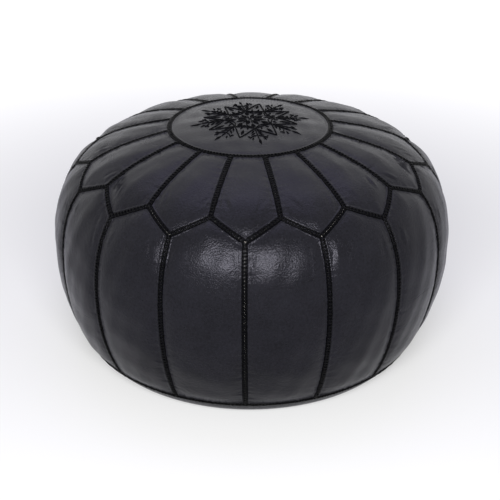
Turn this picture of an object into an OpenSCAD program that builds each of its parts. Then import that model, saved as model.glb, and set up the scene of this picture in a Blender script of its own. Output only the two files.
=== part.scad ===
// Round leather floor pouf, sewn from two rings of panels round an embroidered
// medallion, with a zipped base, an inner bag and a soft filling.
// Millimetres. +Z is up, the floor is z = 0, and the origin is under the middle of the pouf.
// The front is -Y: a seam between two side panels runs down it.

/* [Overall] */
// Diameter at the widest point, over the stitching
pouf_diameter = 550; // [450:5:700]
// Height from the floor to the middle of the medallion
pouf_height = 325; // [265:5:420]
// Height of the widest point above the floor
girth_height = 160; // [125:5:200]
// Number of panels in each of the two rings
panel_count = 16; // [12:1:18]

/* [Outline of the cover] */
// Diameter of the round medallion on top
medallion_diameter = 220; // [160:5:270]
// How far the middle of the medallion stands above its edge
medallion_rise = 8; // [3:0.5:16]
// Slope of the cover where it leaves the medallion, in degrees
crown_slope = 12; // [4:1:20]
// How far the crown runs flat before it turns down
crown_fullness = 0.62; // [0.4:0.02:0.7]
// How high the side runs straight up before it turns in
shoulder_fullness = 0.72; // [0.5:0.02:0.8]
// How far the side runs straight down below the girth
lower_fullness = 0.37; // [0.25:0.01:0.6]
// How far the side keeps the slope that it has at the base seam
hem_fullness = 0.31; // [0.2:0.01:0.5]
// Slope of the side where it meets the base seam, in degrees
hem_slope = 58; // [45:1:75]
// How far the base seam lies inside the girth
base_tuck = 36; // [24:1:60]
// Height of the base seam above the floor
base_seam_height = 21; // [14:1:32]
// How far the edge of the flat sole lies inside the base seam
base_roll = 28; // [20:1:45]

/* [Panels] */
// Thickness of the leather
leather_thickness = 1.4; // [1:0.1:2.5]
// Gap between the cut edges of two panels
seam_gap = 0.4; // [0.2:0.1:0.8]
// Length along the cover of the seam between two petals
petal_seam_length = 116; // [90:1:135]
// Further length along the cover from there to the petal's point
petal_point_length = 31; // [20:1:45]

/* [Seam stitching] */
// Width of the thick stitching that covers each seam
stitch_width = 6.5; // [4:0.5:10]
// Height of the stitching above the leather
stitch_height = 1.8; // [1:0.1:3]
// Clearance between the stitching and the leather
stitch_clearance = 0.1; // [0.05:0.05:0.3]

/* [Embroidery] */
// Distance from the centre to the star's tips
star_radius = 65; // [45:1:72]
// Distance from the centre to the notches between the star's tips
star_notch_radius = 32; // [24:1:38]
// Length of the thin leaves that stand outside the star
spike_leaf_length = 17; // [8:1:22]
// Width of the thread lines
thread_line_width = 1.6; // [1:0.1:2.5]
// Height of the thread above the leather
thread_height = 0.8; // [0.4:0.1:1.5]
// Turn of the star from the +X axis, in degrees
star_turn = 34.5; // [0:0.5:45]

/* [Zip] */
// Length of the two rows of teeth
zip_length = 300; // [220:5:320]
// Distance between two teeth of one row
tooth_pitch = 3; // [2.4:0.1:4]
// Length of one tooth along the zip
tooth_size = 1.2; // [0.8:0.1:1.3]
// Height of a tooth
tooth_height = 2.2; // [1.6:0.1:3]
// Width of one zip tape
tape_width = 14.5; // [11:0.5:20]
// Thickness of the zip tape
tape_thickness = 0.6; // [0.4:0.1:1]
// Length of the slider
slider_length = 14; // [11:0.5:18]
// Thickness of the slider's two plates
slider_plate = 1.5; // [1:0.1:2]
// Running clearance between the slider and the zip
slider_clearance = 0.35; // [0.2:0.05:0.5]
// Length of the pull tab
pull_length = 30; // [20:1:40]
// Thickness of the pull tab, and of the pin at its end
pull_thickness = 1.5; // [1:0.1:1.8]

/* [Zip channel in the base] */
// Depth of the channel that keeps the zip off the floor
channel_depth = 7.4; // [6.8:0.1:10]
// Width of the channel's flat roof
channel_roof_width = 34; // [30:1:44]
// How far each side of the channel slopes out
channel_slope_width = 24; // [14:1:36]
// How far each end of the channel slopes out
channel_end_slope = 16; // [8:1:24]

/* [Inner bag and filling] */
// Thickness of the bag's cloth
bag_thickness = 0.8; // [0.4:0.1:1.5]
// Clearance between the bag and what is next to it
bag_clearance = 0.4; // [0.3:0.1:1]

/* [Hidden] */
$fn = 192;
eps = 0.01;
upper_steps = 15;            // straight steps in the outline from medallion to girth
lower_steps = 11;            // and from girth to base seam
roll_steps = 6;              // and from base seam to floor
dome_steps = 8;              // and across the medallion
far = 8 * pouf_diameter;     // longer than anything in the model

half_turn = 180 / panel_count;                     // half the angle of one panel
leather_girth = pouf_diameter / 2 - stitch_height - stitch_clearance;
medallion_r = medallion_diameter / 2;
medallion_edge_z = pouf_height - medallion_rise;
dome_r = (pow(medallion_r, 2) + pow(medallion_rise, 2)) / (2 * medallion_rise);
dome_slope = asin(medallion_r / dome_r);
base_seam_r = leather_girth - base_tuck;
sole_r = base_seam_r - base_roll;

function two_digits(i) = str(i < 10 ? "0" : "", i);
petal_names = [for (i = [1:panel_count]) str("upper_petal_", two_digits(i))];
side_names = [for (i = [1:panel_count]) str("side_panel_", two_digits(i))];

leather_colour = [0.11, 0.11, 0.13];
thread_colour = [0.04, 0.04, 0.05];
tape_colour = [0.07, 0.07, 0.08];
metal_colour = [0.30, 0.30, 0.32];
bag_colour = [0.86, 0.83, 0.76];
filling_colour = [0.95, 0.95, 0.93];

// ---------------------------------------------------------------- outline of the cover

// Point and direction on a cubic Bezier curve with control points p.
function bezier(p, t) =
    pow(1 - t, 3) * p[0] + 3 * pow(1 - t, 2) * t * p[1]
    + 3 * (1 - t) * t * t * p[2] + pow(t, 3) * p[3];
function bezier_direction(p, t) =
    pow(1 - t, 2) * (p[1] - p[0]) + 2 * (1 - t) * t * (p[2] - p[1]) + t * t * (p[3] - p[2]);

// A station of an outline: [radius, height, outward normal's radius, outward normal's height].
function station(point, direction) =
    let (d = direction / norm(direction)) [point[0], point[1], -d[1], d[0]];
function bezier_station(p, t) = station(bezier(p, t), bezier_direction(p, t));
function raised(s, lift) = [s[0] + lift * s[2], s[1] + lift * s[3]];

crown_curve = let (
    start = [medallion_r, medallion_edge_z],
    across = crown_fullness * (leather_girth - medallion_r),
    down = shoulder_fullness * (medallion_edge_z - girth_height))
    [start, start + across * [cos(crown_slope), -sin(crown_slope)],
     [leather_girth, girth_height + down], [leather_girth, girth_height]];
side_curve = let (
    end = [base_seam_r, base_seam_height],
    drop = girth_height - base_seam_height)
    [[leather_girth, girth_height], [leather_girth, girth_height - lower_fullness * drop],
     end + hem_fullness * drop * [cos(hem_slope), sin(hem_slope)], end];

// The cover from the medallion seam down to the base seam, and the length walked along it.
cover = concat(
    [for (i = [0:upper_steps]) bezier_station(crown_curve, i / upper_steps)],
    [for (i = [1:lower_steps]) bezier_station(side_curve, i / lower_steps)]);
function walked_to(i) = i == 0 ? 0
    : walked_to(i - 1) + norm([cover[i][0] - cover[i - 1][0], cover[i][1] - cover[i - 1][1]]);
cover_walk = [for (i = [0:len(cover) - 1]) walked_to(i)];
cover_length = cover_walk[len(cover) - 1];
function cover_value(walked, k) =
    lookup(walked, [for (i = [0:len(cover) - 1]) [cover_walk[i], cover[i][k]]]);
function cover_at(walked) = [for (k = [0:3]) cover_value(walked, k)];

// Outline of a strip of the cover between two walked lengths and two lifts from the leather's face.
function strip(from, to, low, high) = let (
    least_step = 1,
    between = [for (w = cover_walk) if (w > from + least_step && w < to - least_step) w],
    stations = [for (w = concat([from], between, [to])) cover_at(w)],
    last = len(stations) - 1)
    concat([for (s = stations) raised(s, high)], [for (i = [last:-1:0]) raised(stations[i], low)]);

// Outline of the medallion, from the axis to its edge, between two lifts.
function dome_station(slope) =
    [dome_r * sin(slope), pouf_height - dome_r * (1 - cos(slope)), sin(slope), cos(slope)];
function dome_strip(edge_slope, low, high) = concat(
    [for (i = [0:dome_steps]) raised(dome_station(edge_slope * i / dome_steps), high)],
    [for (i = [dome_steps:-1:0]) raised(dome_station(edge_slope * i / dome_steps), low)]);

// ---------------------------------------------------------------- cutting the cover into panels

petal_end = petal_seam_length;
point_end = petal_seam_length + petal_point_length;
notch = cover_at(petal_end);          // where a petal seam ends, between two points
tip = cover_at(point_end);            // the point of a petal
middle = cover_at((petal_end + point_end) / 2);
// Every pointed seam is cut square to the leather: its plane goes through this point of the axis.
least_lean = 0.2;                     // keeps that point near when the crown is almost level
cut_centre = [0, 0, middle[1] - middle[0] * middle[3] / max(middle[2], least_lean)];
margin = 14;                          // how far a strip runs past the cuts that trim it

function front(turns) = -90 + turns * 2 * half_turn;   // azimuth, counted in panels from the front
function on_circle(s, azimuth) = [s[0] * cos(azimuth), s[0] * sin(azimuth), s[1]];
function upward(v) = (v[2] < 0 ? -v : v) / norm(v);
function cut_normal(notch_azimuth, tip_azimuth) = upward(cross(
    on_circle(notch, notch_azimuth) - cut_centre, on_circle(tip, tip_azimuth) - cut_centre));

// Everything above, or below, the cut from a notch to a point, moved off it by a distance.
module to_cut(notch_azimuth, tip_azimuth) {
    n = cut_normal(notch_azimuth, tip_azimuth);
    translate(cut_centre) rotate([0, acos(n[2]), atan2(n[1], n[0])]) children();
}
module above_cut(notch_azimuth, tip_azimuth, off) {
    to_cut(notch_azimuth, tip_azimuth) translate([-far / 2, -far / 2, off]) cube([far, far, far]);
}
module below_cut(notch_azimuth, tip_azimuth, off) {
    to_cut(notch_azimuth, tip_azimuth) translate([-far / 2, -far / 2, -far - off]) cube([far, far, far]);
}

// The upright wedge that one panel fills, less half the seam gap on each side.
module wedge(azimuth) {
    inset = seam_gap / 2 / sin(half_turn);
    reach = pouf_diameter;
    rotate([0, 0, azimuth]) translate([0, 0, -margin]) linear_extrude(pouf_height + 2 * margin)
        polygon([[inset, 0], inset * [1, 0] + reach * [cos(half_turn), sin(half_turn)],
                 inset * [1, 0] + reach * [cos(half_turn), -sin(half_turn)]]);
}

// A sector of a strip of the cover.
module sector(from_azimuth, angle, outline) {
    rotate([0, 0, from_azimuth]) rotate_extrude(angle = angle) polygon(outline);
}

// Petals: five-sided, with a point at the lower end.
module upper_petal(i) {
    mid = front(i - 1);
    color(leather_colour) intersection() {
        sector(mid - half_turn, 2 * half_turn,
               strip(seam_gap / 2, point_end + margin, -leather_thickness, 0));
        wedge(mid);
        above_cut(mid + half_turn, mid, seam_gap / 2);
        above_cut(mid - half_turn, mid, seam_gap / 2);
    }
}

// Side panels: five-sided, with a peak that fits between two petal points.
module side_panel(i) {
    mid = front(i - 0.5);
    color(leather_colour) intersection() {
        sector(mid - half_turn, 2 * half_turn,
               strip(petal_end - margin, cover_length - seam_gap / 2, -leather_thickness, 0));
        wedge(mid);
        below_cut(mid, mid + half_turn, seam_gap / 2);
        below_cut(mid, mid - half_turn, seam_gap / 2);
    }
}

// The round top piece.
module medallion() {
    edge_slope = asin((medallion_r - seam_gap / 2) / dome_r);
    color(leather_colour) rotate_extrude() polygon(dome_strip(edge_slope, -leather_thickness, 0));
}

// ---------------------------------------------------------------- stitching over the seams

stitch_low = stitch_clearance;
stitch_high = stitch_clearance + stitch_height;
stitch_end = stitch_width / 2 + seam_gap / 2;   // where one row of stitching stops short of another

// An upright slab as wide as the stitching, from the axis outwards.
module stitch_slab(azimuth) {
    rotate([0, 0, azimuth]) translate([0, -stitch_width / 2, -margin])
        cube([pouf_diameter, stitch_width, pouf_height + 2 * margin]);
}

// A ring of stitching over a level seam, half round, lying on the leather.
module stitch_ring(s) {
    points = 8;
    leaning = atan2(-s[2], s[3]);
    base = raised(s, stitch_low);
    rotate_extrude() translate(base) rotate(leaning)
        polygon([for (k = [0:points]) let (turn = 180 * k / points)
            [stitch_width / 2 * cos(turn), stitch_height * sin(turn)]]);
}

module medallion_seam_stitching() {
    lean = (dome_slope + crown_slope) / 2;
    color(thread_colour) stitch_ring([medallion_r, medallion_edge_z, sin(lean), cos(lean)]);
}
module base_seam_stitching() {
    color(thread_colour) stitch_ring(cover_at(cover_length));
}
module petal_seam_stitching() {
    spread = 2 * asin(stitch_width / medallion_r);
    for (k = [0:panel_count - 1]) {
        a = front(k + 0.5);
        color(thread_colour) intersection() {
            sector(a - spread / 2, spread, strip(stitch_end, petal_end + margin, stitch_low, stitch_high));
            stitch_slab(a);
            above_cut(a, a + half_turn, stitch_end);
            above_cut(a, a - half_turn, stitch_end);
        }
    }
}
module side_seam_stitching() {
    spread = 2 * asin(stitch_width / medallion_r);
    for (k = [0:panel_count - 1]) {
        a = front(k);
        color(thread_colour) intersection() {
            sector(a - spread / 2, spread,
                   strip(point_end - margin, cover_length - stitch_end, stitch_low, stitch_high));
            stitch_slab(a);
            below_cut(a + half_turn, a, stitch_end);
            below_cut(a - half_turn, a, stitch_end);
        }
    }
}
module zigzag_seam_stitching() {
    trim = asin(seam_gap / 2 / tip[0]);     // the rows end a little apart where they meet
    for (k = [0:panel_count - 1], side = [-1, 1]) {
        tip_azimuth = front(k);
        notch_azimuth = tip_azimuth + side * half_turn;
        color(thread_colour) intersection() {
            sector(min(tip_azimuth, notch_azimuth) + trim, half_turn - 2 * trim,
                   strip(petal_end - margin, point_end + margin, stitch_low, stitch_high));
            above_cut(notch_azimuth, tip_azimuth, -stitch_width / 2);
            below_cut(notch_azimuth, tip_azimuth, -stitch_width / 2);
        }
    }
}

// ---------------------------------------------------------------- embroidery on the medallion

// A leaf: two arcs that meet at its ends, from one distance to another along an azimuth.
module leaf(length, width) {
    r = (pow(length / 2, 2) + pow(width / 2, 2)) / width;
    intersection() {
        translate([0, r - width / 2]) circle(r);
        translate([0, width / 2 - r]) circle(r);
    }
}
module leaf_at(azimuth, from, to, width, lean = 0) {
    rotate(azimuth) translate([(from + to) / 2, 0]) rotate(lean) leaf(to - from, width);
}
module star(tips, notches) {
    polygon([for (k = [0:15]) (k % 2 == 0 ? tips : notches) * [cos(22.5 * k), sin(22.5 * k)]]);
}
module motif() {
    notch_gap = 3;
    spike_start = star_radius + 1;
    difference() {
        star(star_radius, star_notch_radius);
        star(star_radius - 3.5 * thread_line_width, star_notch_radius - thread_line_width);
    }
    for (k = [0:7]) {
        tip_azimuth = 45 * k;
        gap_azimuth = 45 * k + 22.5;
        leaf_at(tip_azimuth, 0.52 * star_radius, 0.78 * star_radius, 5);
        leaf_at(gap_azimuth, spike_start, spike_start + spike_leaf_length, 5);
        leaf_at(gap_azimuth, star_notch_radius + notch_gap, spike_start - 2, thread_line_width);
        for (side = [-1, 1]) {
            leaf_at(gap_azimuth + 9 * side, 0.62 * star_radius, 0.78 * star_radius, 3.6, 24 * side);
            leaf_at(gap_azimuth + 8 * side, 0.84 * star_radius, 0.99 * star_radius, 3.4, 24 * side);
        }
        leaf_at(tip_azimuth, 5, 21, 6);
        leaf_at(gap_azimuth, 14, star_notch_radius - 3.5, 5);
    }
    circle(3);
}
module medallion_embroidery() {
    color(thread_colour) translate([0, 0, pouf_height - dome_r]) intersection() {
        difference() {
            sphere(dome_r + stitch_clearance + thread_height);
            sphere(dome_r + stitch_clearance);
        }
        rotate([0, 0, star_turn]) linear_extrude(dome_r + 2 * thread_height) motif();
    }
}

// ---------------------------------------------------------------- base

zip_slot_half_width = 6.6;
zip_slot_end = 20;                    // how far the slot runs past each end of the teeth
slot_half_length = zip_length / 2 + zip_slot_end;
roof_half_length = slot_half_length + 8;
zip_room = 3.6;                       // height above the leather that the zip needs inside
hem_direction = [-cos(hem_slope), -sin(hem_slope)];
roll_curve = let (
    start = [base_seam_r, base_seam_height] + seam_gap / 2 * hem_direction,
    end = [sole_r, 0],
    half_drop = start[1] / 2)
    [start, start + half_drop / sin(hem_slope) * hem_direction, end + [base_roll / 2, 0], end];
roll = [for (i = [roll_steps:-1:0]) bezier_station(roll_curve, i / roll_steps)];
roll_top = roll[roll_steps];

// Outline of a filled dish that follows the base at a depth inside it. The dish closes level at a
// height, and above its last point its wall goes straight up at the corner's radius.
function dish_outline(depth, corner, close_height) = concat(
    [[0, depth]], [for (s = roll) raised(s, -depth)], [[corner[0], close_height], [0, close_height]]);

// Trapezium across the channel: half widths at the floor and at the roof, grown by a distance.
function channel_outline(floor_half, roof_half, grow) = let (
    run = floor_half - roof_half,
    sideways = grow * norm([run, channel_depth]) / channel_depth,
    below = -5,
    top = channel_depth + grow,
    low_half = floor_half - run * below / channel_depth + sideways,
    top_half = floor_half - run * top / channel_depth + sideways)
    [[-low_half, below], [low_half, below], [top_half, top], [-top_half, top]];

// The channel under the zip: it slopes in on all four sides to a flat roof.
module channel(grow) {
    roof_half = channel_roof_width / 2;
    intersection() {
        rotate([90, 0, 90]) linear_extrude(far, center = true)
            polygon(channel_outline(roof_half + channel_slope_width, roof_half, grow));
        rotate([90, 0, 0]) linear_extrude(far, center = true)
            polygon(channel_outline(roof_half_length + channel_end_slope, roof_half_length, grow));
    }
}
// A dish of leather or cloth that lines the base at a depth, with a raised part over the channel.
// Its rim is cut square where the side begins.
module dish(depth, thickness, over_channel) {
    corner = raised(roll_top, -depth - thickness);
    difference() {
        rotate_extrude() polygon(dish_outline(depth, corner, corner[1]));
        channel(over_channel);
        difference() {
            rotate_extrude() polygon(dish_outline(depth + thickness, corner, corner[1] + margin));
            channel(over_channel + thickness);
        }
    }
}
module zip_slot() {
    translate([-slot_half_length, -zip_slot_half_width, 0])
        cube([2 * slot_half_length, 2 * zip_slot_half_width, channel_depth + 2 * leather_thickness]);
}
// One half of the base: side 1 is the back half and -1 the front half.
module base_half(side) {
    color(leather_colour) intersection() {
        difference() {
            dish(0, leather_thickness, 0);
            zip_slot();
        }
        translate([-far / 2, side > 0 ? seam_gap / 2 : -far - seam_gap / 2, -margin]) cube([far, far, far]);
    }
}

// ---------------------------------------------------------------- zip, lying face down in its channel

tape_gap = 3.2;                                        // between the two tapes
tape_low = channel_depth + leather_thickness + 0.1;    // the tapes lie on the inside of the leather
teeth_low = tape_low - tooth_height;
bead_width = 1.5;                                      // the edge of the tape that carries the teeth
tooth_reach = 2.6;                                     // length of a tooth across the zip
teeth_per_row = floor(zip_length / tooth_pitch);
row_start = -zip_length / 2;

module zip_tape(side) {
    past_slot = 4;
    near_edge = side > 0 ? tape_gap / 2 : -tape_gap / 2 - tape_width;
    color(tape_colour) translate([-slot_half_length - past_slot, near_edge, tape_low])
        cube([2 * (slot_half_length + past_slot), tape_width, tape_thickness]);
}

// One row of teeth: a comb whose teeth stand between those of the other row.
function comb(first) = concat(
    [[row_start, 0], [row_start, bead_width]],
    [for (k = [0:teeth_per_row - 1], p = [[0, 0], [0, 1], [1, 1], [1, 0]])
        [row_start + first + k * tooth_pitch + p[0] * tooth_size, bead_width + p[1] * tooth_reach]],
    [[-row_start, bead_width], [-row_start, 0]]);
module zip_teeth(side) {
    first = side > 0 ? tooth_pitch / 2 - tooth_size : tooth_pitch - tooth_size - 0.1;
    bead_edge = tape_gap / 2 + bead_width;
    color(metal_colour) translate([0, 0, teeth_low]) linear_extrude(tooth_height)
        mirror([0, side > 0 ? 1 : 0]) translate([0, -bead_edge]) polygon(comb(first));
}

slider_gap = 0.15;
slider_x = zip_length / 2 - slider_length + 5;         // its back edge, with the zip closed
slider_top = teeth_low - slider_clearance;             // inner face of the plate with the pull
slider_half_width = zip_slot_half_width - 1.2;
flange = 1.6;
post_length = 3;
post_x = slider_x + slider_length - post_length - 0.8;
pin_r = pull_thickness / 2;
pull_x = slider_x + slider_length / 2;                 // axis of the pull tab's pin
pin_z = slider_top - slider_plate - slider_gap - pin_r;
bridge_height = 1.1;
bridge_half_length = 3.6;
bridge_half_width = 1.5;
bridge_leg = 1.3;

module slider_plate_at(z, thickness) {
    cut = 2;
    translate([slider_x, 0, z]) linear_extrude(thickness)
        polygon([[0, cut - slider_half_width], [cut, -slider_half_width],
                 [slider_length - cut, -slider_half_width], [slider_length, cut - slider_half_width],
                 [slider_length, slider_half_width - cut], [slider_length - cut, slider_half_width],
                 [cut, slider_half_width], [0, slider_half_width - cut]]);
}
module zip_slider() {
    inner_plate_z = tape_low + tape_thickness + slider_clearance;
    plate_z = slider_top - slider_plate;
    bridge_z = pin_z - pin_r - slider_gap - bridge_height;
    flange_length = slider_length - 4;
    post_half_width = tape_gap / 2 - 0.3;
    color(metal_colour) union() {
        slider_plate_at(plate_z, slider_plate);
        slider_plate_at(inner_plate_z, slider_plate);
        translate([post_x, -post_half_width, slider_top - eps])
            cube([post_length, 2 * post_half_width, inner_plate_z - slider_top + 2 * eps]);
        for (y = [-slider_half_width, slider_half_width - flange])
            translate([slider_x + 2, y, slider_top - eps])
                cube([flange_length, flange, tape_low - slider_clearance - slider_top]);
        for (x = [-bridge_half_length, bridge_half_length - bridge_leg])
            translate([pull_x + x, -bridge_half_width, bridge_z])
                cube([bridge_leg, 2 * bridge_half_width, plate_z - bridge_z + eps]);
        translate([pull_x - bridge_half_length, -bridge_half_width, bridge_z])
            cube([2 * bridge_half_length, 2 * bridge_half_width, bridge_height]);
    }
}

// The pull tab hangs on its own pin, which runs through the bridge on the slider.
module zip_pull_tab() {
    inner_half = bridge_half_width + 0.7;
    outer_half = inner_half + 1.7;
    window = bridge_half_length + 1.6;
    color(metal_colour) translate([pull_x, 0, pin_z]) union() {
        rotate([90, 0, 0]) cylinder(r = pin_r, h = 2 * outer_half, center = true);
        translate([0, 0, -pin_r]) linear_extrude(pull_thickness) difference() {
            union() {
                translate([outer_half - pull_length, -outer_half])
                    square([pull_length - outer_half, 2 * outer_half]);
                translate([outer_half - pull_length, 0]) circle(outer_half);
            }
            translate([-window, -inner_half]) square([2 * window, 2 * inner_half]);
        }
    }
}

// Two stops past the closed end, and one clamp across the other end.
module zip_stops() {
    stop_length = 3.4;
    stop_half = tape_gap / 2 + bead_width + 0.2;
    top_stop_x = slider_x + slider_length + 0.6;
    color(metal_colour) {
        for (side = [-1, 1])
            translate([top_stop_x, side > 0 ? tape_gap / 2 : -stop_half, teeth_low])
                cube([stop_length, stop_half - tape_gap / 2, tooth_height]);
        translate([row_start - stop_length - 0.2, -stop_half, teeth_low])
            cube([stop_length, 2 * stop_half, tooth_height]);
    }
}

// Two machine-sewn rows on each side of the zip, and a dense bar across each end.
module zip_stitching() {
    row_height = 0.35;
    row_width = 0.7;
    face = channel_depth - row_height - 0.05;
    bar_width = 2.4;
    color(thread_colour) {
        for (side = [-1, 1], row = [zip_slot_half_width + 2, zip_slot_half_width + 5])
            translate([-slot_half_length, side * row - row_width / 2, face])
                cube([2 * slot_half_length, row_width, row_height]);
        for (side = [-1, 1])
            translate([side * (slot_half_length + 2.6) - bar_width / 2, -zip_slot_half_width, face])
                cube([bar_width, 2 * zip_slot_half_width, row_height]);
    }
}

// ---------------------------------------------------------------- inner bag and filling

bag_out = leather_thickness + bag_clearance;
bag_in = bag_out + bag_thickness;
fill_out = bag_in + bag_clearance;
bag_seam = point_end + 8;             // the bag's top piece is sewn to its side here
bag_seam_gap = 0.3;

// Outline of everything inside a depth, from the axis over the top and down to a walked length.
function top_outline(to, low, high) = let (
    edge_slope = dome_slope - 1.5,
    crown = [for (w = concat([for (w = cover_walk) if (w > 4 && w < to - 1) w], [to])) cover_at(w)],
    skin = concat([for (i = [0:dome_steps]) dome_station(edge_slope * i / dome_steps)], crown),
    last = len(skin) - 1)
    concat([for (s = skin) raised(s, -high)], [for (i = [last:-1:0]) raised(skin[i], -low)]);

module inner_bag_top() {
    color(bag_colour) rotate_extrude() polygon(top_outline(bag_seam - bag_seam_gap / 2, bag_in, bag_out));
}
module inner_bag_side() {
    color(bag_colour) rotate_extrude()
        polygon(strip(bag_seam + bag_seam_gap / 2, cover_length - bag_seam_gap / 2, -bag_in, -bag_out));
}
module inner_bag_base() {
    color(bag_colour) dish(bag_out, bag_thickness, leather_thickness + zip_room);
}
// The loose filling, pressed into the shape of the bag.
module filling() {
    skin = [for (w = cover_walk) if (w > 4) raised(cover_at(w), -fill_out)];
    dome = [for (i = [0:dome_steps]) raised(dome_station((dome_slope - 1.5) * i / dome_steps), -fill_out)];
    roll_skin = [for (i = [roll_steps - 1:-1:0]) raised(roll[i], -fill_out)];
    color(filling_colour) difference() {
        rotate_extrude() polygon(concat(dome, skin, roll_skin, [[0, fill_out]]));
        channel(leather_thickness + zip_room + bag_thickness + bag_clearance);
    }
}

// ---------------------------------------------------------------- the nodes

medallion();
medallion_embroidery();
for (i = [1:panel_count]) {
    upper_petal(i);
    side_panel(i);
}
base_half(-1);  // base_half_front
base_half(1);  // base_half_back
medallion_seam_stitching();
petal_seam_stitching();
zigzag_seam_stitching();
side_seam_stitching();
base_seam_stitching();
zip_tape(-1);  // zip_tape_front
zip_tape(1);  // zip_tape_back
zip_teeth(-1);  // zip_teeth_front
zip_teeth(1);  // zip_teeth_back
zip_stops();
zip_slider();
zip_pull_tab();
zip_stitching();
inner_bag_top();
inner_bag_side();
inner_bag_base();
filling();
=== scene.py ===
import bpy
import numpy as np
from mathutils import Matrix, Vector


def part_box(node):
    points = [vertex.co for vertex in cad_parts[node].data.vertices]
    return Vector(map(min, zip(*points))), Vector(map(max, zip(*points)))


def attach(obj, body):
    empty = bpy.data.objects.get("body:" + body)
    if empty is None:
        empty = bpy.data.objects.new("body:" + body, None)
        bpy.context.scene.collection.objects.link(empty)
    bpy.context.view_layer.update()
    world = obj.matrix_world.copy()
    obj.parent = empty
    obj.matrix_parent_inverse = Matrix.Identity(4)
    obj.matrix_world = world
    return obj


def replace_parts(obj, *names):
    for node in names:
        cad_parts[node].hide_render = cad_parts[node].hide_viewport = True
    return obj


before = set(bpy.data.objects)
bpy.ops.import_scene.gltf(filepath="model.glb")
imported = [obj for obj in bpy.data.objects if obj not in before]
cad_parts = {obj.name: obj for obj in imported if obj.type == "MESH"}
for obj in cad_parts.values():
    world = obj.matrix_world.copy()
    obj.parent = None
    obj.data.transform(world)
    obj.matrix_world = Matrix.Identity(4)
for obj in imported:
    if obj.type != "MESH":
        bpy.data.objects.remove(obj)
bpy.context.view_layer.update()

# ---------------------------------------------------------------- the stuffed form
# The filling presses the whole cover into one low, round form: nearly level round the medallion,
# full at the girth and drawn in above the floor. Every panel and seam is laid out on that form by
# the distance walked down it from the medallion, and by its azimuth.

PANELS = 16                                    # in each of the two rings
HALF = np.pi / PANELS                          # half the turn of one panel
FRONT = -np.pi / 2                             # azimuth of the front, where a side seam runs down
SEAM_HALF_GAP = 0.0002                         # between the middle of a seam and the leather
STITCHING_PROUD = 0.0019                       # how far the side seams stand out of the form
MEDALLION_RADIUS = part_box("medallion")[1].x + SEAM_HALF_GAP
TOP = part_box("medallion")[1].z
MEDALLION_RISE = 0.008                         # the middle of the medallion over its edge
GIRTH_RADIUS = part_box("side_seam_stitching")[1].x - STITCHING_PROUD
GIRTH_HEIGHT = 0.160
BASE_TUCK = 0.036                              # how far the base seam is drawn in from the girth
BASE_SEAM_RADIUS = GIRTH_RADIUS - BASE_TUCK
BASE_SEAM_HEIGHT = 0.021
CROWN_SLOPE = np.radians(12)
HEM_SLOPE = np.radians(58)
CROWN_FULLNESS = 0.62                          # shares of each span that the curves' handles reach
SHOULDER_FULLNESS = 0.72
LOWER_FULLNESS = 0.37
HEM_FULLNESS = 0.31
NOTCH_WALK = 0.116                             # where a petal seam ends, between two points
TIP_WALK = 0.147                               # the point of a petal


def cubic(corners, t):
    """A cubic Bezier curve: the four corners weighted by (1-t)^3, 3(1-t)^2 t, 3(1-t)t^2 and t^3."""
    t = t[:, None]
    return ((1 - t) ** 3 * corners[0] + 3 * (1 - t) ** 2 * t * corners[1]
            + 3 * (1 - t) * t ** 2 * corners[2] + t ** 3 * corners[3])


def lengths_along(points):
    """Distance walked from the first point to each point, along straight steps."""
    steps = np.linalg.norm(np.diff(points, axis=0), axis=1)
    return np.concatenate([[0], np.cumsum(steps)])


edge = np.array([MEDALLION_RADIUS, TOP - MEDALLION_RISE])
girth = np.array([GIRTH_RADIUS, GIRTH_HEIGHT])
hem = np.array([BASE_SEAM_RADIUS, BASE_SEAM_HEIGHT])
down_crown = np.array([np.cos(CROWN_SLOPE), -np.sin(CROWN_SLOPE)])
up_hem = np.array([np.cos(HEM_SLOPE), np.sin(HEM_SLOPE)])
crown_curve = [edge, edge + CROWN_FULLNESS * (girth[0] - edge[0]) * down_crown,
               girth + [0, SHOULDER_FULLNESS * (edge[1] - girth[1])], girth]
side_curve = [girth, girth - [0, LOWER_FULLNESS * (girth[1] - hem[1])],
              hem + HEM_FULLNESS * (girth[1] - hem[1]) * up_hem, hem]
t = np.linspace(0, 1, 200)
form = np.concatenate([cubic(crown_curve, t)[:-1], cubic(side_curve, t)])
form_walk = lengths_along(form)
form_out = np.gradient(form, form_walk, axis=0)
form_out = np.stack([-form_out[:, 1], form_out[:, 0]], axis=1)
form_out /= np.linalg.norm(form_out, axis=1)[:, None]
COVER_LENGTH = form_walk[-1]


def form_radius(walk):
    """Radius of the form at a walked distance."""
    return np.interp(walk, form_walk, form[:, 0])


def on_form(walk, azimuth, lift):
    """A point at a walked distance and azimuth, lifted off the form along its outward normal. The
    stuffing is uneven: the form leans out on one side and rolls by about a millimetre round it."""
    depth = np.sin(np.pi * np.clip(walk / COVER_LENGTH, 0, 1)) ** 2
    lift = lift + depth * (0.0026 * np.cos(azimuth) + 0.0009 * np.sin(3 * azimuth + 0.6)
                           + 0.0007 * np.sin(5 * azimuth + 2.1 + 14 * walk))
    radius = form_radius(walk) + lift * np.interp(walk, form_walk, form_out[:, 0])
    height = np.interp(walk, form_walk, form[:, 1]) + lift * np.interp(walk, form_walk, form_out[:, 1])
    return np.stack(np.broadcast_arrays(radius * np.cos(azimuth), radius * np.sin(azimuth), height), axis=-1)


# ---------------------------------------------------------------- leather side panels
# Sixteen long panels of thin black goatskin, each with a peak that fits between two petal points.
# Their edges are turned under, and the lacing pulls them into a valley while the filling pushes
# the rest out. The skin puckers along the lacing and creases at the corners.

LEATHER_THICKNESS = 0.0014
SEAM_LIFT = -0.0027                            # the valley that the lacing lies in
CREST_LIFT = 0.0021                            # the middle of a panel
LACING_HALF_WIDTH = 0.0033
FOLD_HEIGHT = 0.0010                           # the turned edge that shows beside the lacing
FOLD_WIDTH = 0.0009


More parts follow.
